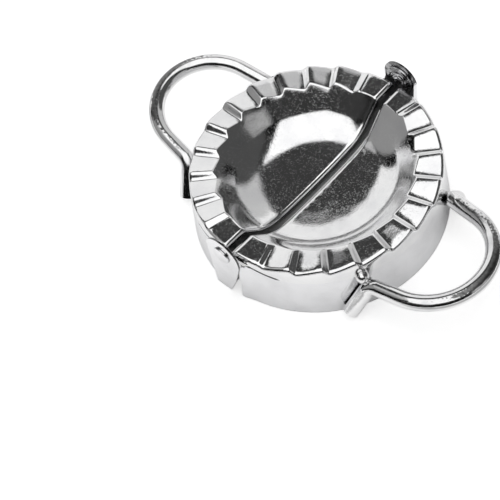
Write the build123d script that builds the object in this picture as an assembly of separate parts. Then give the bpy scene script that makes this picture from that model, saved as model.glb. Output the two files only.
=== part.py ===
from build123d import *
from math import acos, asin, atan2, cos, degrees, hypot, radians, sin
import os

# Empanada press: two half-round moulds hinged along their straight side, laid open and
# flat. X runs across the hinge line toward the right-hand handle, Y runs along the hinge
# line and Z is up. The origin is on the table, midway between the two hinge rivets.
# The right half is modelled; the left half is the same set turned half round about Z.

# ---- driving dimensions, mm and degrees --------------------------------------------------
RIM_DIAMETER = 97.6       # over the pleated sealing rim
RIM_HEIGHT = 25.0         # mean level of the rim above the table
SHEET = 0.8               # stainless sheet
FOOT_RADIUS = 50.75       # outside of the skirt where it stands on the table
BOWL_DEPTH = 14.0         # below the rim, at the middle of the seam
FLOOR_RADIUS = 20.0       # of the bowl's nearly flat floor
FLOOR_ROUND = 250.0       # and how round that floor is
KNUCKLE = 18.4            # bend between floor and wall
WALL_ANGLE = 47.15        # of the straight wall above it

PLATES = 12               # broad sloping plates on each half
PLEAT_PITCH = 14.7        # angle from one plate to the next
RISER_WIDTH = 3.6         # steep strip between two plates
PLEAT_RISE = 2.18         # height of each step at the outer edge, half that at the two end plates
RIM_FALL = 0.037          # the rim sinks a little toward the bowl, mm per mm

SEAM_HALF_GAP = 1.4       # from the hinge line to each half's turned-down straight edge
SEAM_BEND = 1.8           # outside radius of that bend
FLANGE_HEIGHT = 6.0       # of the turned-down straight edge, below the bowl
EDGE_DROP = 6.0           # turned-down rim edge, as deep as the joint with the skirt

HINGE_RISE = 0.6          # hinge axis above the mean rim: leaves 1.2 mm between closed rims
EAR_RADIUS = 8.0          # outer hinge lug
TONGUE_RADIUS = 6.2       # inner hinge lug, clear of the bend in the outer one
EAR_FACE = 52.0           # outside of the outer lug, from the middle of the press
LUG_PLAY = 0.1            # side play between the two lugs
EAR_FLAT = 7.7            # half width of the flat of the outer lug
TONGUE_FLAT = 6.2         # and of the inner one
LUG_BEND_ANGLE = 11.6     # where each lug has bent back into the round skirt, from the Y axis
TONGUE_FOOT = 11.5        # height where the inner lug leaves the end of the skirt
SLIT_LENGTH = 20.3        # the joint with the skirt is open from here to the hinge line
SLIT_RISE = 2.6           # and climbs by this much on the way
SLIT_WIDTH = 0.7

WIRE = 6.3                # handle rod
LOOP_RADIUS = 22.4        # of the handle's rounded end, to the rod's centre
LOOP_REACH = 10.0         # from the line between the two shoulder bends to the loop's centre
HANDLE_SPAN = 48.0        # between the two bends where the rod turns down the skirt
HANDLE_HEIGHT = 15.0      # of those bends above the table
HANDLE_SLOPE = 8.5        # rise of the handle toward its tip
FOOT_SPREAD = 9.4         # each foot leans outward by this angle round the skirt
FOOT_END = 2.6            # gap under the feet
FOOT_BEND = 5.0           # bend radius of the rod's centre
WELD_SINK = 0.15          # depth of the flat weld seat along each foot
WELD_BEAD = 2.6           # radius of the drop of weld on top of each shoulder bend
BEAD_RISE = 3.4           # and how far its middle is above the bend

RIVET_SHANK = 1.6         # radii of the hinge rivet
RIVET_HEAD = 3.7
RIVET_TAIL = 2.7
WASHER_RADIUS = 3.9
HEAD_HEIGHT = 1.2
HEAD_CROWN = 0.85         # how far the middle of the head stands above its rim
TAIL_HEIGHT = 0.5
WASHER_THICK = 0.5
RUNNING_FIT = 0.05

# ---- worked-out dimensions ---------------------------------------------------------------
RIM_RADIUS = RIM_DIAMETER / 2
SKIRT_TAPER = (FOOT_RADIUS - RIM_RADIUS) / RIM_HEIGHT
AXIS_HEIGHT = RIM_HEIGHT + HINGE_RISE
SKIRT_TOP = RIM_HEIGHT - EDGE_DROP
TONGUE_FACE = EAR_FACE - SHEET - LUG_PLAY
TONGUE_INSIDE = TONGUE_FACE - SHEET
ABOVE = RIM_HEIGHT + 20   # comfortably clear of everything
WIDE = 4 * RIM_RADIUS
UPRIGHT = (Align.CENTER, Align.CENTER, Align.MIN)


def skirt_radius(height):
    """Outside of the tapering skirt at a height above the table."""
    return FOOT_RADIUS - SKIRT_TAPER * height


def skirt_cone(inset, bottom, top):
    """Solid that fills the skirt, drawn in by inset, from bottom to top."""
    lower, upper = skirt_radius(bottom) - inset, skirt_radius(top) - inset
    return Pos(0, 0, bottom) * Cone(lower, upper, top - bottom, align=UPRIGHT)


def block(x0, x1, z0, z1):
    """Box between two X and two Z limits, right through the press."""
    return Pos((x0 + x1) / 2, 0, (z0 + z1) / 2) * Box(x1 - x0, 2 * WIDE, z1 - z0)


def main_solid(shape):
    """The largest solid, without the crumbs left by trimming."""
    return max(shape.solids(), key=lambda solid: solid.volume)


# ---- the pressed mould plate -------------------------------------------------------------
def fold(step, side, inset):
    """The fold line beside riser number step, as a function of radius.

    side -1 is the high fold, which ends a plate; side +1 is the low fold, which starts the
    next one. The two folds of a riser are parallel, so the risers are even strips, and the
    plates stay flat because their rise shrinks with their width toward the bowl. The first
    and the last plate lie level.
    """
    angle = radians(step * PLEAT_PITCH)
    outward = Vector(cos(angle), sin(angle))
    across = Vector(-sin(angle), cos(angle)) * (side * RISER_WIDTH / 2)
    last = PLATES // 2
    level = abs(step) == last or step == side * (last - 1)

    def plate_width(radius):
        return radius * radians(PLEAT_PITCH) - RISER_WIDTH

    def point(radius):
        rise = 0 if level else -side * PLEAT_RISE / 2 * plate_width(radius) / plate_width(RIM_RADIUS)
        height = RIM_HEIGHT - RIM_FALL * (RIM_RADIUS - radius) + rise - inset
        return outward * radius + across + Vector(0, 0, height)

    return point


def run_on(line, before, share=0.45):
    """Carry the slope of an end plate on past the seam."""
    return lambda radius: line(radius) + (line(radius) - before(radius)) * share


def pleated_block(inset):
    """Block under the saw-tooth rim: an upright wall on every fold, joined by straight rules."""
    last = PLATES // 2
    lines = [fold(step, side, inset) for step in range(-last, last + 1) for side in (-1, 1)]
    lines = lines[1:-1]
    lines[0], lines[-1] = run_on(lines[0], lines[1]), run_on(lines[-1], lines[-2])
    walls = []
    for line in lines:
        inner, outer = line(RIM_RADIUS - 17.5), line(RIM_RADIUS + 6.5)
        feet = [Vector(top.X, top.Y, -1 - inset) for top in (inner, outer)]
        walls.append(Face(Wire.make_polygon([*feet, outer, inner], close=True)))
    return loft(walls, ruled=True)


def bowl_space(grow):
    """The hollow of the bowl: a nearly flat floor, a round knuckle and a straight wall."""
    floor_turn = degrees(asin(FLOOR_RADIUS / FLOOR_ROUND))
    floor_centre = Vector(0, RIM_HEIGHT - BOWL_DEPTH + FLOOR_ROUND)
    knuckle_centre = floor_centre + turned_down(floor_turn) * (FLOOR_ROUND - KNUCKLE)

    def arc(centre, radius, first, last):
        turns = (first, (first + last) / 2, last)
        return [centre + turned_down(turn) * (radius + grow) for turn in turns]

    floor = arc(floor_centre, FLOOR_ROUND, 0, floor_turn)
    knuckle = arc(knuckle_centre, KNUCKLE, floor_turn, WALL_ANGLE)
    wall = Vector(cos(radians(WALL_ANGLE)), sin(radians(WALL_ANGLE)))
    with BuildSketch(Plane.XZ) as profile:
        with BuildLine():
            ThreePointArc(*floor)
            ThreePointArc(*knuckle)
            side = Line(knuckle[-1], knuckle[-1] + wall * 22)
            Polyline(side @ 1, (0, (side @ 1).Y), floor[0])
        make_face()
    return revolve(profile.sketch.faces()[0], axis=Axis.Z)


def turned_down(angle):
    """Unit step straight down, swung outward by an angle."""
    return Vector(sin(radians(angle)), -cos(radians(angle)))


def seam_edges(body, inset):
    """Top edges along the straight side of a half."""
    found = []
    for edge in body.edges():
        points = [edge @ (share / 4) for share in range(5)]
        straight = all(abs(p.X - SEAM_HALF_GAP - inset) < 1e-3 for p in points)
        if straight and edge.length > 1 and points[2].Z > 5 and abs(points[2].Y) < RIM_RADIUS + 0.5:
            found.append(edge)
    return found


def half_body(inset):
    """One half filled solid down to the table, drawn in by inset on every face."""
    middle = Cylinder(RIM_RADIUS - 13.5, RIM_HEIGHT + 1, align=UPRIGHT)
    body = pleated_block(inset) + Pos(0, 0, -1 - inset) * middle - bowl_space(inset)
    body = body & skirt_cone(inset, -2, RIM_HEIGHT + 3)
    body = body & block(SEAM_HALF_GAP + inset, WIDE, -ABOVE, ABOVE)
    return fillet(seam_edges(body, inset), SEAM_BEND - inset)


def below_joint(shift):
    """Side view of all that lies below the joint of rim and skirt, which climbs at the slit."""
    mouth = SKIRT_TOP + SLIT_RISE + shift
    corners = (
        (-WIDE, mouth), (SLIT_LENGTH * 0.4, mouth), (SLIT_LENGTH * 0.6, mouth - SLIT_RISE * 0.3),
        (SLIT_LENGTH, SKIRT_TOP + shift), (SLIT_LENGTH, SKIRT_TOP), (WIDE, SKIRT_TOP),
        (WIDE, -WIDE), (-WIDE, -WIDE),
    )
    return outline(*corners)


def mould_plate():
    """Bowl, pleated rim and the edges turned down round them, pressed from one sheet."""
    plate = half_body(0) - half_body(SHEET)
    rim_edge = extrude(below_joint(SLIT_WIDTH / 2), amount=WIDE, both=True)
    plate = plate - (rim_edge - skirt_cone(SHEET + 1.2, -ABOVE, ABOVE))
    straight_edge = block(SEAM_HALF_GAP - 1, SEAM_HALF_GAP + SHEET + 0.2, -ABOVE, SKIRT_TOP)
    return main_solid(plate - (straight_edge - bowl_space(FLANGE_HEIGHT)))


# ---- the skirt with its two hinge lugs ---------------------------------------------------
def outline(*corners):
    """Side view (X across, Z up) of a flat-sided shape."""
    return Plane.XZ * make_face(Polyline(*corners, close=True))


def disc(radius):
    """Side view of a round lug end on the hinge axis."""
    return Plane.XZ * Pos(0, AXIS_HEIGHT) * Circle(radius)


def skirt_plan(height):
    """Plan outline of the skirt at a height: round, running into a flat lug at each end."""
    radius = skirt_radius(height)
    bend = radians(LUG_BEND_ANGLE)
    x, y = radius * sin(bend), radius * cos(bend)
    back = -3 * EAR_RADIUS
    with BuildSketch(Plane.XY.offset(height)) as plan:
        with BuildLine():
            Polyline((back, EAR_FACE), (back, -TONGUE_FACE), (TONGUE_FLAT, -TONGUE_FACE), (x, -y))
            ThreePointArc((x, -y), (radius, 0), (x, y))
            Polyline((x, y), (EAR_FLAT, EAR_FACE), (back, EAR_FACE))
        make_face()
    return plan.sketch.faces()[0]


def skirt_block(inset):
    plans = [skirt_plan(height) for height in (0, ABOVE)]
    if inset:
        plans = [offset(plan, amount=-inset, kind=Kind.INTERSECTION).faces()[0] for plan in plans]
    return loft(plans, ruled=True)


def skirt(hole_radius):
    """The wall the press stands on, with the inner lug at one end and the outer at the other."""
    wall = skirt_block(0) - skirt_block(SHEET)
    band = below_joint(-SLIT_WIDTH / 2)
    neck = SKIRT_TOP + SLIT_RISE - SLIT_WIDTH / 2
    # near end: below the inner lug the skirt stops short of the hinge line
    tongue = disc(TONGUE_RADIUS) + outline(
        (-TONGUE_RADIUS, AXIS_HEIGHT), (-1.5, TONGUE_FOOT), (TONGUE_FLAT + 1, TONGUE_FOOT),
        (TONGUE_FLAT + 1, neck), (TONGUE_RADIUS, AXIS_HEIGHT),
    )
    tongue = tongue + (band & outline((4.6, 0), (5.9, TONGUE_FOOT), (5.9, WIDE), (WIDE, WIDE), (WIDE, 0)))
    # far end: the outer lug leans across the hinge line and narrows down to the table
    ear = disc(EAR_RADIUS) + outline(
        (-EAR_RADIUS, AXIS_HEIGHT), (-EAR_RADIUS, AXIS_HEIGHT - 2.6), (-4.4, 11), (0.4, 0),
        (EAR_FLAT, 0), (EAR_FLAT + 1.3, neck), (EAR_RADIUS, AXIS_HEIGHT),
    )
    ear = ear + (band & outline((0.4, 0), (0.4, WIDE), (WIDE, WIDE), (WIDE, 0)))
    wall = wall & (extrude(tongue, amount=WIDE) + extrude(ear, amount=-WIDE))
    return main_solid(wall - cross_pin(hole_radius, -WIDE, WIDE))


# ---- hinge rivet and washer --------------------------------------------------------------
def cross_pin(radius, start, end):
    """Cylinder along the hinge axis between two Y positions."""
    pin = Cylinder(radius, end - start, align=UPRIGHT)
    return Pos(0, start, AXIS_HEIGHT) * Rot(-90, 0, 0) * pin


def rivet(side):
    """Hinge rivet, headed outside the outer lug and closed over the washer inside.

    The near one (side -1) is gripped by the outer lug, the far one by the inner lug, so the
    far one stands out by its running play.
    """
    under_head = EAR_FACE + (RUNNING_FIT if side > 0 else 0)
    over_tail = TONGUE_INSIDE - WASHER_THICK - (RUNNING_FIT if side < 0 else 0)
    crown = (RIVET_HEAD**2 + HEAD_CROWN**2) / (2 * HEAD_CROWN)
    head = Cylinder(RIVET_HEAD, HEAD_HEIGHT, align=UPRIGHT) & Pos(0, 0, HEAD_HEIGHT - crown) * Sphere(crown)
    tail = chamfer(Cylinder(RIVET_TAIL, TAIL_HEIGHT, align=UPRIGHT).edges().group_by(Axis.Z)[-1], 0.45)
    shank = Cylinder(RIVET_SHANK, under_head - over_tail, align=UPRIGHT)
    pin = Pos(0, 0, over_tail) * shank + Pos(0, 0, under_head) * head
    pin = pin + Pos(0, 0, over_tail) * Rot(180, 0, 0) * tail
    return Pos(0, 0, AXIS_HEIGHT) * Rot(-90 * side, 0, 0) * pin


def washer(side):
    """Plain washer between the inner lug and the closed end of the rivet."""
    outside = TONGUE_INSIDE - (RUNNING_FIT if side < 0 else 0)
    ring = Cylinder(WASHER_RADIUS, WASHER_THICK, align=UPRIGHT)
    ring = ring - Cylinder(RIVET_SHANK, WASHER_THICK, align=UPRIGHT)
    return Pos(0, 0, AXIS_HEIGHT) * Rot(-90 * side, 0, 0) * Pos(0, 0, outside - WASHER_THICK) * ring


# ---- handle ------------------------------------------------------------------------------
def handle():
    """One bent rod: a rounded loop, two legs, and a foot welded down the skirt at each end."""
    reach = skirt_radius(HANDLE_HEIGHT) + WIRE / 2 - WELD_SINK
    bend_x = (reach**2 - (HANDLE_SPAN / 2) ** 2) ** 0.5
    foot_angle = atan2(HANDLE_SPAN / 2, bend_x) + radians(FOOT_SPREAD)
    foot_reach = skirt_radius(FOOT_END) + WIRE / 2 - WELD_SINK
    # where a leg meets the round end without a kink
    touch = atan2(HANDLE_SPAN / 2, -LOOP_REACH) - acos(LOOP_RADIUS / hypot(LOOP_REACH, HANDLE_SPAN / 2))
    tilted = Pos(bend_x, 0, HANDLE_HEIGHT) * Rot(0, -HANDLE_SLOPE, 0)

    def on_handle(x, y):
        return (tilted * Pos(x, y)).position

    def half(side):
        foot = Vector(foot_reach * cos(foot_angle), side * foot_reach * sin(foot_angle), FOOT_END)
        shoulder = (LOOP_REACH + LOOP_RADIUS * cos(touch), side * LOOP_RADIUS * sin(touch))
        bend = on_handle(0, side * HANDLE_SPAN / 2)
        return FilletPolyline(foot, bend, on_handle(*shoulder), radius=FOOT_BEND)

    near, far = half(-1), half(1)
    loop = ThreePointArc(near @ 1, on_handle(LOOP_REACH + LOOP_RADIUS, 0), far @ 1)
    rod = [bent_rod(edge) for edge in (*near.edges(), loop.edge(), *far.edges())]
    bead = Pos(skirt_radius(HANDLE_HEIGHT + BEAD_RISE) + 0.7, 0, HANDLE_HEIGHT + BEAD_RISE) * Sphere(WELD_BEAD)
    bead_angle = degrees(atan2(HANDLE_SPAN / 2, bend_x)) + 2
    rod = Part() + rod + [Rot(0, 0, side * bead_angle) * bead for side in (-1, 1)]
    return main_solid(rod - skirt_cone(0, -ABOVE, ABOVE))


def bent_rod(edge):
    """The rod along one straight or evenly bent stretch of its centre line."""
    end = Plane(origin=edge @ 0, z_dir=edge % 0) * Circle(WIRE / 2)
    if edge.geom_type == GeomType.LINE:
        return extrude(end, amount=edge.length)
    centre = edge.arc_center
    spin = ((edge @ 0) - centre).cross((edge @ 0.5) - centre)
    return revolve(end, axis=Axis(centre, spin), revolution_arc=degrees(edge.length / edge.radius))


# ---- the whole press ---------------------------------------------------------------------
def turned(shape):
    return Rot(0, 0, 180) * shape


def build():
    plate, loop = mould_plate(), handle()
    return {
        "right_mould_plate": plate,
        "left_mould_plate": turned(plate),
        "right_skirt": skirt(RIVET_SHANK + RUNNING_FIT),
        "left_skirt": turned(skirt(RIVET_SHANK)),
        "right_handle": loop,
        "left_handle": turned(loop),
        "near_rivet": rivet(-1),
        "far_rivet": rivet(1),
        "near_washer": washer(-1),
        "far_washer": washer(1),
    }


os.makedirs("parts", exist_ok=True)
for node, shape in build().items():
    export_step(shape, f"parts/{node}.step")
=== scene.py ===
from math import asin, atan2, cos, hypot, pi, radians, sin, sqrt, tan

import bmesh
import bpy
from mathutils import Matrix, Vector


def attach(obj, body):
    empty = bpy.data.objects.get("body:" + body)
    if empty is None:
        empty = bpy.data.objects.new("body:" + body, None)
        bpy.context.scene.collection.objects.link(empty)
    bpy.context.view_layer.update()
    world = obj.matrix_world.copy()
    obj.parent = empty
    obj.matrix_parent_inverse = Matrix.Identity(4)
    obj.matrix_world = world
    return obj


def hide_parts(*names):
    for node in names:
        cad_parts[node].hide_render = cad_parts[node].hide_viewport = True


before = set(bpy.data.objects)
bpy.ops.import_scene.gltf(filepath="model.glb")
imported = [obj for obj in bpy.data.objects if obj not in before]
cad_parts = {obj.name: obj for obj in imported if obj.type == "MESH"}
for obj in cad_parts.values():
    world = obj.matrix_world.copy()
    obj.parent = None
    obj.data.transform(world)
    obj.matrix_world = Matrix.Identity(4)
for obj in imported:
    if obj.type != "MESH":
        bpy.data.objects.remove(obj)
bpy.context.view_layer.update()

MM = 0.001
HALVES = {"right": 0.0, "left": pi}      # each half is the other one turned about Z
TABLE_WHITE = 0.8
TABLE_GLOW = 0.6                         # the table's own light, as the eye sees it
MIRROR_GLOW = 0.75                       # and as the steel mirrors it
NEAR_WHITE = (0.085, 0.115)              # the mirrored table fades out between these distances, in metres
FAR_WHITE = (0.18, 0.30)                 # and comes back here, which leaves a dark ring between
SHELTER_REACH = 0.06                     # how far the press's painted shadow reaches on the table that the steel mirrors
SHELTER_POWER = 1.7                      # and how strongly

# ---- sizes of the press -------------------------------------------------------------------
RIM_RADIUS = 48.8 * MM
RIM_HEIGHT = 25.0 * MM
FOOT_RADIUS = 50.75 * MM
SKIRT_TAPER = (FOOT_RADIUS - RIM_RADIUS) / RIM_HEIGHT
SKIRT_TOP = 19.0 * MM
SHEET = 0.8 * MM

BOWL_DEPTH = 14.0 * MM
BOWL_FLOOR = 20.0 * MM                   # radius of the nearly flat floor
FLOOR_ROUND = 250.0 * MM                 # and how round it is
KNUCKLE = 18.4 * MM                      # bend between floor and wall
WALL_ANGLE = radians(47.15)

PLEATS = 6                               # plates on each side of the handle
PLEAT_PITCH = radians(14.7)
RISER_WIDTH = 3.6 * MM
PLEAT_RISE = 2.18 * MM
RIM_FALL = 0.037
FOLD_ROUND = 0.4 * MM                    # half width of the rounding along each fold
RISER_SWELL = 0.85                       # how much steeper a riser is in its middle
RISER_PARTS = 10                         # strips across a riser
LIP_BEND = 1.2 * MM
EDGE_BEND = 1.6 * MM

SEAM_GAP = 1.4 * MM
SEAM_BEND = 1.8 * MM
SEAM_PARTS = 6                           # strips round that bend
FLANGE = 6.0 * MM
SLIT_LENGTH = 20.3 * MM
SLIT_RISE = 2.6 * MM
SLIT_WIDTH = 0.7 * MM
AXIS_HEIGHT = 25.6 * MM
RIVET = {                                # in mm, and the pairs are y under the head and y over the tail
    "head": 3.7, "crown": 0.45, "rim": 0.75, "shank": 1.6, "tail": 2.7, "closed": 0.5,
    "washer": 3.9, "thick": 0.5, "near": (52.0, 49.75), "far": (52.05, 49.8),
}
RIVET_ROUND = 0.2                        # rounding of the rivet's corners, mm
WASHER_ROUND = 0.14
EASE = 0.16 * MM                         # rounding of the skirt's cut edges
CUT_PAINTED_DARK = 0.85                          # painted dark reflection on the skirt's outer lug edges, how dark
INSIDE_PAINTED_SHADE = 0.45                       # and painted shade on its inside
OUTER_LUG = 51.1 * MM                    # the outer lugs lie beyond this, measured along the hinge
JOINT_LAP = 0.4 * MM                     # the rim's edge laps this far over the welded joint
LAP_STAND = JOINT_LAP / 20               # and stands this far out from the skirt


def skirt_radius(height):
    return FOOT_RADIUS - SKIRT_TAPER * height


def bowl_height(radius):
    """Inside of the bowl: a nearly flat floor, a round knuckle and a straight wall."""
    start = asin(BOWL_FLOOR / FLOOR_ROUND)
    bottom = RIM_HEIGHT - BOWL_DEPTH
    if radius < BOWL_FLOOR:
        return bottom + FLOOR_ROUND - sqrt(FLOOR_ROUND**2 - radius**2)
    height = bottom + FLOOR_ROUND * (1 - cos(start))
    turn = min((radius - BOWL_FLOOR) / KNUCKLE + sin(start), sin(WALL_ANGLE))
    height += KNUCKLE * (cos(start) - sqrt(1 - turn**2))
    return height + max(radius - wall_start(), 0) * tan(WALL_ANGLE)


def wall_start():
    return BOWL_FLOOR + KNUCKLE * (sin(WALL_ANGLE) - BOWL_FLOOR / FLOOR_ROUND)


# ---- pleats -------------------------------------------------------------------------------
def fold(step, side):
    """Fold line beside riser number step: side -1 is the high one, +1 the low one.

    The first and the last plate lie level.
    """
    level = abs(step) == PLEATS or step == side * (PLEATS - 1)
    rise = 0 if level else PLEAT_RISE
    angle = step * PLEAT_PITCH
    outward = Vector((cos(angle), sin(angle), 0))
    across = Vector((-sin(angle), cos(angle), 0)) * (side * RISER_WIDTH / 2)

    def point(radius):
        width = (radius * PLEAT_PITCH - RISER_WIDTH) / (RIM_RADIUS * PLEAT_PITCH - RISER_WIDTH)
        height = RIM_HEIGHT - RIM_FALL * (RIM_RADIUS - radius) - side * rise / 2 * width
        return outward * radius + across + Vector((0, 0, height))

    return point


def plate_line(low, high, share, drop=0.0):
    """A line across a plate, between its low and its high fold."""
    return lambda radius: low(radius).lerp(high(radius), share) - Vector((0, 0, drop))


def riser_line(high, low, share):
    """A line across a riser, which is steepest in its middle."""
    drop = high(RIM_RADIUS).z - low(RIM_RADIUS).z
    swell = Vector((0, 0, drop * RISER_SWELL * sin(2 * pi * share) / (2 * pi)))
    return lambda radius: high(radius).lerp(low(radius), share) + swell


def rim_lines():
    """Lines across the rim, one for each column of the pressed sheet, rounded at the folds."""
    lines = []
    plate_width = RIM_RADIUS * PLEAT_PITCH - RISER_WIDTH
    soften = FOLD_ROUND / 4 * (PLEAT_RISE / RISER_WIDTH + PLEAT_RISE / plate_width)
    for step in range(-PLEATS, PLEATS):
        low, high = fold(step, 1), fold(step + 1, -1)
        edge = FOLD_ROUND / (high(RIM_RADIUS) - low(RIM_RADIUS)).length
        shares = [0, edge, 0.25, 0.5, 0.75, 1 - edge, 1]
        # the two end plates run on past the hinge line, where they are trimmed
        if step == -PLEATS:
            shares = [-0.45, -0.2] + shares[1:]
        if step == PLEATS - 1:
            shares = shares[:-1] + [1.2, 1.45]
        for share in shares:
            lines.append(plate_line(low, high, share, {0: -soften, 1: soften}.get(share, 0)))
        if step < PLEATS - 1:
            foot = fold(step + 1, 1)
            lines += [riser_line(high, foot, part / RISER_PARTS) for part in range(1, RISER_PARTS)]
    return lines


def crossing(line, miss, inner, outer):
    """The radius where miss(point) crosses zero on a rim line."""
    for _ in range(40):
        middle = (inner + outer) / 2
        if (miss(line(middle)) > 0) == (miss(line(outer)) > 0):
            outer = middle
        else:
            inner = middle
    return middle


def bend(entry, leave, radius, steps):
    """Round a corner at the origin between two unit directions in a radial plane."""
    turn = entry.angle(leave)
    reach = radius * tan(turn / 2)
    inward = (leave - entry * entry.dot(leave)).normalized()
    for step in range(steps + 1):
        along = turn * step / steps
        yield entry * (radius * sin(along) - reach) + inward * (radius * (1 - cos(along)))


FLOOR_STEPS = [radius * MM for radius in (0.0, 3, 6, 9, 12, 15, 18, 20, 22, 24, 26, 28, 30, 31.3)]
WALL_STEPS, LIP_STEPS, RIM_STEPS, EDGE_STEPS, DROP_STEPS = 4, 4, 4, 6, 3
STATIONS = len(FLOOR_STEPS) + WALL_STEPS + LIP_STEPS + 1 + RIM_STEPS - 1 + EDGE_STEPS + 1 + DROP_STEPS


def joint_height(x, shift):
    """Joint of rim and skirt: level round the press, climbing as an open slit by each hinge."""
    x = abs(x)
    if x > SLIT_LENGTH:
        return SKIRT_TOP
    steep = min((SLIT_LENGTH - x) / (SLIT_LENGTH * 0.4), 1)
    gentle = min(max(SLIT_LENGTH * 0.6 - x, 0) / (SLIT_LENGTH * 0.2), 1)
    return SKIRT_TOP + shift + SLIT_RISE * (0.7 * steep + 0.3 * gentle)


def column(line):
    """Points from the middle of the bowl over the lip and the rim down to its lower edge."""
    lip_at = crossing(line, lambda p: p.z - bowl_height(hypot(p.x, p.y)), 33 * MM, 44 * MM)
    edge_at = crossing(line, lambda p: hypot(p.x, p.y) - skirt_radius(p.z), 44 * MM, 50 * MM)
    lip, edge = line(lip_at), line(edge_at)
    up = Vector((0, 0, 1))
    wall_out = Vector((lip.x, lip.y, 0)).normalized()
    wall = wall_out * cos(WALL_ANGLE) + up * sin(WALL_ANGLE)
    across = (edge - lip).normalized()
    drop_out = Vector((edge.x, edge.y, 0)).normalized()
    down = (drop_out * SKIRT_TAPER - up).normalized()

    points = [wall_out * radius + up * bowl_height(radius) for radius in FLOOR_STEPS]
    lip_round = [lip + shift for shift in bend(wall, across, LIP_BEND, LIP_STEPS)]
    edge_round = [edge + shift for shift in bend(across, down, EDGE_BEND, EDGE_STEPS)]
    first = wall_out * wall_start() + up * bowl_height(wall_start())
    points += [first.lerp(lip_round[0], step / WALL_STEPS) for step in range(WALL_STEPS)]
    points += lip_round
    points += [lip_round[-1].lerp(edge_round[0], step / RIM_STEPS) for step in range(1, RIM_STEPS)]
    points += edge_round
    start = edge_round[-1]
    end_height = joint_height(start.x, SLIT_WIDTH * 0.9) - JOINT_LAP * (abs(start.x) > SLIT_LENGTH)
    for step in range(1, DROP_STEPS + 1):
        height = start.z + (end_height - start.z) * step / DROP_STEPS
        points.append(drop_out * (skirt_radius(height) + LAP_STAND) + up * height)
    return points


def seam_drop(x):
    """How far the sheet has turned down toward its straight edge."""
    past = max(SEAM_GAP + SEAM_BEND - x, 0)
    return SEAM_BEND - sqrt(max(SEAM_BEND**2 - past**2, 0))


def flange_bottom(y):
    slope = (bowl_height(abs(y) + MM) - bowl_height(abs(y))) / MM
    return min(bowl_height(abs(y)) - FLANGE * sqrt(1 + slope**2), SKIRT_TOP)


def mould_plate(name, turn):
    """One half's sheet, pressed from a spun blank and trimmed at the seam."""
    mesh = bmesh.new()
    station = mesh.verts.layers.int.new("station")
    blank = [mesh.verts.new((step * MM, 0, 0)) for step in range(STATIONS)]
    for step, vert in enumerate(blank):
        vert[station] = step
    edges = [mesh.edges.new(pair) for pair in zip(blank, blank[1:])]
    columns = [column(line) for line in rim_lines()]
    bmesh.ops.spin(mesh, geom=blank + edges, cent=(0, 0, 0), axis=(0, 0, 1),
                   angle=pi, steps=len(columns) - 1)
    mesh.verts.ensure_lookup_table()
    for vert in mesh.verts:
        if vert[station] == 0:
            vert.co = columns[0][0]
            continue
        place = abs(atan2(vert.co.y, vert.co.x)) / pi * (len(columns) - 1)
        vert.co = columns[round(place)][vert[station]]
    bmesh.ops.remove_doubles(mesh, verts=mesh.verts, dist=1e-7)

    for cut in range(SEAM_PARTS + 1):
        x = SEAM_GAP + SEAM_BEND * (1 - sin(cut / SEAM_PARTS * pi / 2))
        bmesh.ops.bisect_plane(mesh, geom=mesh.verts[:] + mesh.edges[:] + mesh.faces[:], dist=1e-7,
                               plane_co=(x, 0, 0), plane_no=(1, 0, 0), clear_inner=cut == SEAM_PARTS)
    for vert in mesh.verts:
        vert.co.z -= seam_drop(vert.co.x)
    straight = [e for e in mesh.edges if e.is_boundary and all(v.co.x < SEAM_GAP + 1e-6 for v in e.verts)]
    for share in (0.5, 1.0):
        grown = bmesh.ops.extrude_edge_only(mesh, edges=straight)["geom"]
        straight = [e for e in grown if isinstance(e, bmesh.types.BMEdge) and e.is_boundary]
        straight = [e for e in straight if all(v in grown for v in e.verts)]
        for vert in {v for e in straight for v in e.verts}:
            low = min(flange_bottom(vert.co.y), vert.co.z - 0.1 * MM)
            vert.co.z += (low - vert.co.z) * share
    bmesh.ops.rotate(mesh, verts=mesh.verts, cent=(0, 0, 0), matrix=Matrix.Rotation(turn, 3, "Z"))
    bmesh.ops.recalc_face_normals(mesh, faces=mesh.faces)
    if sum(face.normal.z * face.calc_area() for face in mesh.faces) < 0:
        bmesh.ops.reverse_faces(mesh, faces=mesh.faces)
    for edge in mesh.edges:
        edge.smooth = not edge.is_boundary
    piece = finished(name, mesh)
    wall = piece.modifiers.new("sheet", "SOLIDIFY")
    wall.thickness, wall.offset, wall.use_even_offset = SHEET, -1, True
    return piece


# ---- hinge and skirt ----------------------------------------------------------------------
def spun_on_hinge(name, profile):
    """A round piece on the hinge axis from its half section, (radius, y) in millimetres."""
    mesh = bmesh.new()
    points = [mesh.verts.new((radius * MM, y * MM, AXIS_HEIGHT)) for radius, y in profile]
    edges = [mesh.edges.new(pair) for pair in zip(points, points[1:])]
    bmesh.ops.spin(mesh, geom=points + edges, cent=(0, 0, AXIS_HEIGHT), axis=(0, 1, 0),
                   angle=2 * pi, steps=56, use_merge=True)
    bmesh.ops.remove_doubles(mesh, verts=mesh.verts, dist=1e-7)
    bmesh.ops.recalc_face_normals(mesh, faces=mesh.faces)
    return finished(name, mesh)


def rounded(corners, radius, steps=4):
    """Corner points of a half section, each inner corner rounded."""
    points = [corners[0]]
    for before, here, after in zip(corners, corners[1:], corners[2:]):
        here = Vector(here)
        entry, leave = (here - Vector(before)).normalized(), (Vector(after) - here).normalized()
        reach = min(radius, (here - Vector(before)).length / 2.2, (Vector(after) - here).length / 2.2)
        first, last = here - entry * reach, here + leave * reach
        for step in range(steps + 1):
            share = step / steps
            points.append(tuple(first.lerp(here, share).lerp(here.lerp(last, share), share)))
    return points + [corners[-1]]


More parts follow.
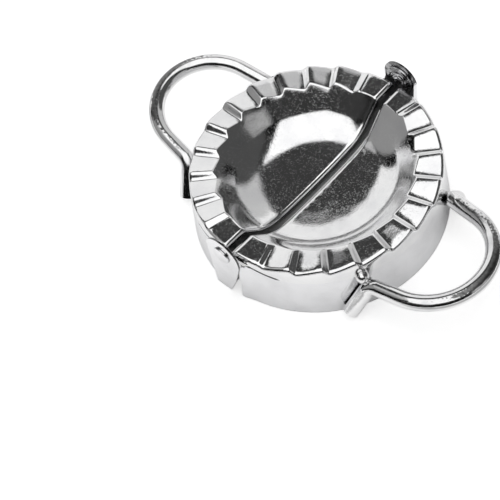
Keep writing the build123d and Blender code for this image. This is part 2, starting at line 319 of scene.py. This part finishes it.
def hinge_rivet(side):
    """Domed head outside the lugs, shank through them, and a closed end over the washer."""
    under_head, over_tail = RIVET["far"] if side > 0 else RIVET["near"]
    head, crown, shank, tail = RIVET["head"], RIVET["crown"], RIVET["shank"], RIVET["tail"]
    ball = (head**2 + crown**2) / (2 * crown)
    top = under_head + RIVET["rim"] + crown
    tilt = asin(head / ball)
    dome = [(ball * sin(tilt * step / 10), top - ball + ball * cos(tilt * step / 10)) for step in range(11)]
    closed = RIVET["closed"]
    shaft = [(head, under_head), (shank, under_head), (shank, over_tail), (tail, over_tail)]
    end = [(tail - 0.1, over_tail - 0.3), (tail * 0.5, over_tail - closed),
           (0.7, over_tail - closed * 0.7), (0, over_tail - closed * 0.6)]
    profile = dome[:-2] + rounded(dome[-2:] + shaft + end, RIVET_ROUND)
    return [(radius, y * side) for radius, y in profile]


def hinge_washer(side):
    outside = RIVET["far"][1] if side > 0 else RIVET["near"][1]
    inner, outer, thick = RIVET["shank"], RIVET["washer"], RIVET["thick"]
    ring = [(inner, outside), (outer, outside), (outer, outside + thick), (inner, outside + thick)]
    return [(radius, y * side) for radius, y in rounded(ring, WASHER_ROUND)]


def eased_copy(name, node, ease):
    """A CAD node's sheet with its cut edges eased, as after tumbling.

    Its inside is marked painted_dark for painted shade, and the edges of its outer lug for a painted dark
    reflection.
    """
    mesh = bmesh.new()
    mesh.from_mesh(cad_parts[node].data)
    bmesh.ops.remove_doubles(mesh, verts=mesh.verts, dist=2e-6)
    folded = [edge for edge in mesh.edges if len(edge.link_faces) == 2]
    sharp = [edge for edge in folded if edge.calc_face_angle() > radians(40)]
    bmesh.ops.bevel(mesh, geom=sharp, offset=ease, segments=2, profile=0.5, affect="EDGES",
                    material=-1, clamp_overlap=True)
    # faces marked here are painted dark: the outer lug's cut edges as a painted reflection, the inside as
    # painted shade
    dull = mesh.faces.layers.float.new("painted_dark")
    for face in mesh.faces:
        middle = face.calc_center_median()
        facing = face.normal.dot(Vector((middle.x, middle.y, 0)).normalized())
        if abs(facing) < 0.3:
            face[dull] = CUT_PAINTED_DARK * (abs(middle.y) > OUTER_LUG)
        elif facing < -0.7:
            face[dull] = INSIDE_PAINTED_SHADE
    piece = finished(name, mesh)
    even = piece.modifiers.new("even_shading", "WEIGHTED_NORMAL")
    even.keep_sharp = False
    return piece


def finished(name, mesh):
    data = bpy.data.meshes.new(name)
    mesh.to_mesh(data)
    mesh.free()
    data.polygons.foreach_set("use_smooth", [True] * len(data.polygons))
    piece = bpy.data.objects.new(name, data)
    bpy.context.scene.collection.objects.link(piece)
    return piece


# ---- small node helpers -------------------------------------------------------------------
def math_node(nodes, links, operation, *values):
    node = nodes.new("ShaderNodeMath")
    node.operation = operation
    for socket, value in zip(node.inputs, values):
        if isinstance(value, bpy.types.NodeSocket):
            links.new(value, socket)
        else:
            socket.default_value = value
    return node.outputs["Value"]


def fade(nodes, links, value, between, start, end):
    ramp = nodes.new("ShaderNodeMapRange")
    ramp.interpolation_type = "SMOOTHSTEP"
    for name, number in zip(("From Min", "From Max", "To Min", "To Max"), (*between, start, end)):
        ramp.inputs[name].default_value = number
    links.new(value, ramp.inputs["Value"])
    return ramp.outputs["Result"]


# ---- finishes -----------------------------------------------------------------------------
PITS_PER_METRE = 2100
SPECK_ROUGH = 0.2                        # roughness of the polishing specks
# colour of the painted shade in crevices and on faces marked painted_dark
PAINTED_SHADE_DARK = (0.04, 0.04, 0.04)
PAINTED_SHADE_PATCHES = 0.3                       # how uneven the painted shade's edge is
CROWN_LEAN = radians(20)                 # the painted dark reflection on the rod's crown leans outward by this much
CROWN_EDGE = (1.02, 1.06)                # where it fades out
CROWN_GRIT = 0.22                        # how ragged that edge is
CROWN_GROWS = 1.8                        # how much wider it gets from one leg to the other
# colours of the painted dark reflection along the rod's crown
CROWN_PAINTED_REFLECTION = ((0.02, 0.02, 0.02), (0.3, 0.3, 0.3))
CROWN_ROUGH = 0.32


def new_group(name, numbers, results):
    """A shader node group with number inputs and number outputs, reading Object coordinates."""
    group = bpy.data.node_groups.new(name, "ShaderNodeTree")
    for number in numbers:
        group.interface.new_socket(number, in_out="INPUT", socket_type="NodeSocketFloat")
    for result in results:
        group.interface.new_socket(result, in_out="OUTPUT", socket_type="NodeSocketFloat")
    nodes = group.nodes
    start, end = nodes.new("NodeGroupInput"), nodes.new("NodeGroupOutput")
    place = nodes.new("ShaderNodeTexCoord").outputs["Object"]
    return group, start.outputs, end.inputs, place


def noise(nodes, links, place, scale, detail=2.0):
    cloud = nodes.new("ShaderNodeTexNoise")
    cloud.inputs["Detail"].default_value = detail
    links.new(place, cloud.inputs["Vector"])
    if isinstance(scale, bpy.types.NodeSocket):
        links.new(scale, cloud.inputs["Scale"])
    else:
        cloud.inputs["Scale"].default_value = scale
    return cloud.outputs["Fac"]


def polishing_grain():
    """Fine grain, the slow waves of pressed sheet under it, cloudy patches and polishing specks."""
    numbers = ("Grain per metre", "Waves per metre", "Wave share")
    group, given, result, place = new_group("polishing_grain", numbers, ("Height", "Cloud", "Specks"))
    nodes, links = group.nodes, group.links
    grain = noise(nodes, links, place, given["Grain per metre"], 3)
    waves = noise(nodes, links, place, given["Waves per metre"], 1)
    swell = math_node(nodes, links, "MULTIPLY", waves, given["Wave share"])
    links.new(math_node(nodes, links, "ADD", grain, swell), result["Height"])
    links.new(noise(nodes, links, place, 90, 4), result["Cloud"])
    pits = nodes.new("ShaderNodeTexVoronoi")
    pits.inputs["Scale"].default_value = PITS_PER_METRE
    links.new(place, pits.inputs["Vector"])
    dice = nodes.new("ShaderNodeSeparateColor")
    links.new(pits.outputs["Color"], dice.inputs["Color"])
    links.new(fade(nodes, links, dice.outputs["Red"], (0.4, 1), 0, 1), result["Specks"])
    return group


def hairline_scratches():
    """Long fine scratches lying in three directions, each one where a drawn-out noise crosses a level."""
    group, given, result, place = new_group("hairline_scratches", ("Lines per metre", "Width"), ("Mask",))
    nodes, links = group.nodes, group.links
    masks = []
    for turn, level in ((0.5, 0.47), (-0.9, 0.56), (1.9, 0.52)):
        drawn = nodes.new("ShaderNodeMapping")
        drawn.inputs["Rotation"].default_value = (0.2, 0.3, turn)
        drawn.inputs["Scale"].default_value = (1, 0.04, 1)
        links.new(place, drawn.inputs["Vector"])
        line = noise(nodes, links, drawn.outputs["Vector"], given["Lines per metre"], 0)
        away = math_node(nodes, links, "ABSOLUTE", math_node(nodes, links, "SUBTRACT", line, level))
        masks.append(math_node(nodes, links, "LESS_THAN", away, given["Width"]))
    most = math_node(nodes, links, "MAXIMUM", masks[0], masks[1])
    most = math_node(nodes, links, "MAXIMUM", most, masks[2])
    broken = fade(nodes, links, noise(nodes, links, place, 160, 1), (0.5, 0.62), 0, 1)
    links.new(math_node(nodes, links, "MULTIPLY", most, broken), result["Mask"])
    return group


def painted_crevice_shade():
    """Painted shade: a dark mask, read from ambient occlusion, where a surface lies close to another one.
    """
    group, given, result, place = new_group("painted_crevice_shade", ("Reach", "Grain per metre"), ("Mask",))
    nodes, links = group.nodes, group.links
    opened = nodes.new("ShaderNodeAmbientOcclusion")
    links.new(given["Reach"], opened.inputs["Distance"])
    grain = noise(nodes, links, place, given["Grain per metre"], 3)
    patchy = math_node(nodes, links, "MULTIPLY", grain, PAINTED_SHADE_PATCHES)
    closed = math_node(nodes, links, "ADD", opened.outputs["AO"], patchy)
    links.new(fade(nodes, links, closed, (0.55, 0.9), 1, 0), result["Mask"])
    return group


def place_group(nodes, group, **numbers):
    node = nodes.new("ShaderNodeGroup")
    node.node_tree = group
    for name, number in numbers.items():
        node.inputs[name.replace("_", " ")].default_value = number
    return node.outputs


def tone(nodes, links, share, first, second):
    """A colour between two, by a mask. Each is a grey or another node's output."""
    mix = nodes.new("ShaderNodeMix")
    mix.data_type = "RGBA"
    for socket, colour in ((mix.inputs["A"], first), (mix.inputs["B"], second)):
        if isinstance(colour, bpy.types.NodeSocket):
            links.new(colour, socket)
        else:
            socket.default_value = (*colour, 1)
    links.new(share, mix.inputs["Factor"])
    return mix.outputs["Result"]


def steel(name, bright, dull, smooth, rough, grain=1700, depth=15, wave=4, scratch=0.002, reach=0.0):
    """Polished stainless steel: grain, slow waves, cloudy dull patches and hairline scratches.

    With a reach it also has painted shade in its crevices, and the faces marked painted_dark are darkened
    as well.
    """
    material = bpy.data.materials.new(name)
    material.use_nodes = True
    nodes, links = material.node_tree.nodes, material.node_tree.links
    shader = nodes["Principled BSDF"]
    shader.inputs["Metallic"].default_value = 1
    skin = place_group(nodes, GRAIN, Grain_per_metre=grain, Waves_per_metre=150, Wave_share=wave)
    lines = place_group(nodes, SCRATCHES, Lines_per_metre=420, Width=scratch)["Mask"]
    cloud = fade(nodes, links, skin["Cloud"], (0.35, 0.75), 0, 1)
    colour = tone(nodes, links, cloud, bright, dull)
    if reach:
        # painted shade: the colour goes dark in crevices and on faces marked painted_dark
        painted_shade = place_group(nodes, CREVICE_SHADE, Reach=reach, Grain_per_metre=900)["Mask"]
        # faces marked painted_dark: painted reflection on the lug edges, painted shade inside
        painted_dark_layer = nodes.new("ShaderNodeAttribute")
        painted_dark_layer.attribute_name = "painted_dark"
        painted_shade = math_node(nodes, links, "MAXIMUM", painted_shade, painted_dark_layer.outputs["Fac"])
        colour = tone(nodes, links, painted_shade, colour, PAINTED_SHADE_DARK)
    worn = fade(nodes, links, math_node(nodes, links, "MAXIMUM", cloud, lines), (0, 1), smooth, rough)
    specks = math_node(nodes, links, "MULTIPLY", skin["Specks"], SPECK_ROUGH)
    roughness = math_node(nodes, links, "MAXIMUM", worn, specks)
    bump = nodes.new("ShaderNodeBump")
    bump.inputs["Distance"].default_value = depth * 1e-6
    links.new(skin["Height"], bump.inputs["Height"])
    links.new(bump.outputs["Normal"], shader.inputs["Normal"])
    links.new(colour, shader.inputs["Base Color"])
    links.new(roughness, shader.inputs["Roughness"])
    return material


def handle_steel(name):
    """The rod: polished, with a dark reflection painted along its crown, where it is also rougher."""
    material = steel(name, (0.8, 0.8, 0.8), (0.66, 0.66, 0.67), 0.07, 0.2, grain=1200, depth=20)
    nodes, links = material.node_tree.nodes, material.node_tree.links
    shader = nodes["Principled BSDF"]
    place = nodes.new("ShaderNodeTexCoord")
    ways = [nodes.new("ShaderNodeSeparateXYZ") for _ in range(2)]
    links.new(place.outputs["Normal"], ways[0].inputs[0])
    links.new(place.outputs["Object"], ways[1].inputs[0])
    side = math_node(nodes, links, "SIGN", ways[1].outputs["X"])
    outward = math_node(nodes, links, "MULTIPLY", ways[0].outputs["X"], side)
    outward = math_node(nodes, links, "MULTIPLY", outward, sin(CROWN_LEAN))
    upward = math_node(nodes, links, "MULTIPLY", ways[0].outputs["Z"], cos(CROWN_LEAN))
    facing = math_node(nodes, links, "ADD", outward, upward)
    grit = noise(nodes, links, place.outputs["Object"], 1100, 4)
    grit = math_node(nodes, links, "MULTIPLY", grit, CROWN_GRIT)
    # broader on one leg than on the other
    across = math_node(nodes, links, "MULTIPLY", ways[1].outputs["Y"], side)
    growing = math_node(nodes, links, "MULTIPLY", across, CROWN_GROWS)
    leaning = math_node(nodes, links, "ADD", facing, growing)
    crown = fade(nodes, links, math_node(nodes, links, "ADD", leaning, grit), CROWN_EDGE, 0, 1)
    # painted reflection: the crown's colour is darkened and speckled to stand in for the dark stripe the
    # rod mirrors
    painted_reflection = tone(nodes, links, noise(nodes, links, place.outputs["Object"], 900, 4), *CROWN_PAINTED_REFLECTION)
    polished = shader.inputs["Base Color"].links[0].from_socket
    links.new(tone(nodes, links, crown, polished, painted_reflection), shader.inputs["Base Color"])
    worn = shader.inputs["Roughness"].links[0].from_socket
    matt = math_node(nodes, links, "MULTIPLY", crown, CROWN_ROUGH)
    links.new(math_node(nodes, links, "MAXIMUM", worn, matt), shader.inputs["Roughness"])
    return material


def dress(piece, material):
    piece.data.materials.clear()
    piece.data.materials.append(material)


GRAIN = polishing_grain()
SCRATCHES = hairline_scratches()
CREVICE_SHADE = painted_crevice_shade()
STEELS = {
    "mould_steel": steel("mould_steel", (0.82, 0.82, 0.82), (0.74, 0.74, 0.75), 0.05, 0.12),
    "skirt_steel": steel("skirt_steel", (0.8, 0.8, 0.81), (0.72, 0.72, 0.73), 0.08, 0.18,
                         wave=3, reach=1.4 * MM),
    "handle_steel": handle_steel("handle_steel"),
    "rivet_steel": steel("rivet_steel", (0.76, 0.76, 0.77), (0.62, 0.62, 0.63), 0.04, 0.14,
                         grain=2400, depth=8, reach=0.5 * MM),
}
SLOT_OF = {"mould_plate": "mould_steel", "skirt": "skirt_steel", "handle": "handle_steel",
           "rivet": "rivet_steel", "washer": "rivet_steel"}

for half, turn in HALVES.items():
    plate = mould_plate(f"{half}_pressed_mould", turn)
    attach(plate, f"{half}_half")
    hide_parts(f"{half}_mould_plate")
    dress(plate, STEELS["mould_steel"])
    wall = eased_copy(f"{half}_eased_skirt", f"{half}_skirt", EASE)
    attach(wall, f"{half}_half")
    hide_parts(f"{half}_skirt")
    dress(wall, STEELS["skirt_steel"])
for end, side in (("near", -1), ("far", 1)):
    for kind, section in (("rivet", hinge_rivet(side)), ("washer", hinge_washer(side))):
        piece = spun_on_hinge(f"{end}_turned_{kind}", section)
        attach(piece, "left_half")
        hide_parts(f"{end}_{kind}")
        dress(piece, STEELS["rivet_steel"])
for node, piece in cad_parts.items():
    dress(piece, STEELS[SLOT_OF[node.split("_", 1)[1]]])


# ---- table, light and camera --------------------------------------------------------------
def table():
    """White table. The steel mirrors it near the press and further off, but not between."""
    mesh = bmesh.new()
    bmesh.ops.create_grid(mesh, x_segments=1, y_segments=1, size=1.5)
    floor = finished("table", mesh)
    material = bpy.data.materials.new("white_table")
    material.use_nodes = True
    nodes, links = material.node_tree.nodes, material.node_tree.links
    paint = nodes["Principled BSDF"]
    paint.inputs["Base Color"].default_value = (TABLE_WHITE, TABLE_WHITE, TABLE_WHITE, 1)
    paint.inputs["Roughness"].default_value = 1
    paint.inputs["Specular IOR Level"].default_value = 0
    paint.inputs["Emission Color"].default_value = (1, 1, 1, 1)

    place = nodes.new("ShaderNodeTexCoord").outputs["Object"]
    away = nodes.new("ShaderNodeVectorMath")
    away.operation = "LENGTH"
    links.new(place, away.inputs[0])
    near = fade(nodes, links, away.outputs["Value"], NEAR_WHITE, 1, 0)
    far = fade(nodes, links, away.outputs["Value"], FAR_WHITE, 0, 1)
    # painted shadow: ambient occlusion darkens the table's glow where the steel mirrors it
    opened = nodes.new("ShaderNodeAmbientOcclusion")
    opened.inputs["Distance"].default_value = SHELTER_REACH
    open_sky = math_node(nodes, links, "POWER", opened.outputs["AO"], SHELTER_POWER)
    lit = math_node(nodes, links, "MULTIPLY", math_node(nodes, links, "ADD", near, far), open_sky)
    ray = nodes.new("ShaderNodeLightPath")
    glossy, through = ray.outputs["Is Glossy Ray"], ray.outputs["Is Transmission Ray"]
    in_steel = math_node(nodes, links, "MAXIMUM", glossy, through)
    glow = math_node(nodes, links, "MULTIPLY", lit, MIRROR_GLOW)
    mirrored = math_node(nodes, links, "MULTIPLY", in_steel, glow)
    seen = math_node(nodes, links, "MULTIPLY", ray.outputs["Is Camera Ray"], TABLE_GLOW)
    links.new(math_node(nodes, links, "MAXIMUM", seen, mirrored), paint.inputs["Emission Strength"])
    dress(floor, material)


def camera():
    """A long lens looking down on the press from beside the near hinge."""
    rise, swing, roll = radians(56.66), radians(-54.956), radians(14.545)
    right = Vector((cos(swing), -sin(swing), 0))
    up = Vector((sin(rise) * sin(swing), sin(rise) * cos(swing), cos(rise)))
    toward = Vector((-cos(rise) * sin(swing), -cos(rise) * cos(swing), sin(rise)))
    side = right * cos(roll) - up * sin(roll)
    head = right * sin(roll) + up * cos(roll)
    distance, off_side, off_head = 520.84 * MM, 24.68 * MM, 32.71 * MM
    view = bpy.data.objects.new("camera", bpy.data.cameras.new("camera"))
    view.data.sensor_width, view.data.lens = 36, 98.44
    view.data.clip_start, view.data.clip_end = 0.01, 20
    place = toward * distance - side * off_side - head * off_head + Vector((0, 0, RIM_HEIGHT))
    view.matrix_world = Matrix.Translation(place) @ Matrix((side, head, toward)).transposed().to_4x4()
    bpy.context.scene.collection.objects.link(view)
    bpy.context.scene.camera = view


# Lamp panels round the press: corners as (azimuth, height above the table) in degrees,
# azimuth counted from +X towards +Y; then how bright each is and how soft its edges are.
PANELS = {
    "overhead": ([(-178, 60), (88, 60), (-7, 38), (-66, 37), (-100, 40)], 1.25, 0.035),
    "left_wall": ([(-168, 5), (-174, 41), (119, 44), (108, 14), (108, -20), (-168, -20)], 0.98, 0.02),
    "back_wall": ([(127, 49), (86, 53), (79, 5), (79, -20), (112, -20)], 0.62, 0.07),
    "front_wall": ([(-157, 7), (-160, 43), (-113, 50), (-121, 10), (-150, -10)], 0.3, 0.05),
    "front_top": ([(-172, 66), (-164, 46), (-130, 44), (-103, 54), (-110, 66)], 0.55, 0.05),
    "right_wall": ([(30, 25), (2, 33), (-2, 4), (30, 4)], 0.5, 0.08),
    "dim_right": ([(88, 2), (88, 52), (20, 46), (8, 2)], 0.075, 0.08),
    "dim_front": ([(-110, 14), (-105, 36), (-7, 37), (10, 14)], 0.035, 0.05),
    "dim_ceiling": ([(-20, 50), (60, 32), (110, 25), (180, 25), (-150, 35), (-90, 50)], 0.04, 0.2),
}
ROOM_DARK = 0.006


def towards(azimuth, height):
    return Vector((cos(radians(azimuth)) * cos(radians(height)),
                   sin(radians(azimuth)) * cos(radians(height)), sin(radians(height))))


def studio():
    """A dark room with soft lamp panels, and plain white where the eye sees it directly."""
    world = bpy.data.worlds.new("studio")
    bpy.context.scene.world = world
    world.use_nodes = True
    nodes, links = world.node_tree.nodes, world.node_tree.links
    heading = nodes.new("ShaderNodeTexCoord").outputs["Generated"]
    total = None
    for corners, strength, softness in PANELS.values():
        corners = [towards(*corner) for corner in corners]
        middle = sum(corners, Vector()) / len(corners)
        glow = strength
        for here, there in zip(corners, corners[1:] + corners[:1]):
            inward = here.cross(there).normalized()
            inward *= 1 if inward.dot(middle) > 0 else -1
            past = nodes.new("ShaderNodeVectorMath")
            past.operation = "DOT_PRODUCT"
            links.new(heading, past.inputs[0])
            past.inputs[1].default_value = inward
            edge = nodes.new("ShaderNodeMapRange")
            edge.interpolation_type = "SMOOTHSTEP"
            edge.inputs["From Min"].default_value = -softness
            edge.inputs["From Max"].default_value = softness
            links.new(past.outputs["Value"], edge.inputs["Value"])
            glow = math_node(nodes, links, "MULTIPLY", edge.outputs["Result"], glow)
        total = glow if total is None else math_node(nodes, links, "MAXIMUM", total, glow)
    lit = math_node(nodes, links, "ADD", total, ROOM_DARK)
    ray = nodes.new("ShaderNodeLightPath").outputs["Is Camera Ray"]
    shown = nodes.new("ShaderNodeMix")
    links.new(ray, shown.inputs["Factor"])
    links.new(lit, shown.inputs["A"])
    shown.inputs["B"].default_value = 1
    links.new(shown.outputs["Result"], nodes["Background"].inputs["Strength"])
    nodes["Background"].inputs["Color"].default_value = (1, 1, 1, 1)


table()
camera()
studio()
bpy.context.scene.view_settings.view_transform = "Standard"
bpy.context.view_layer.update()
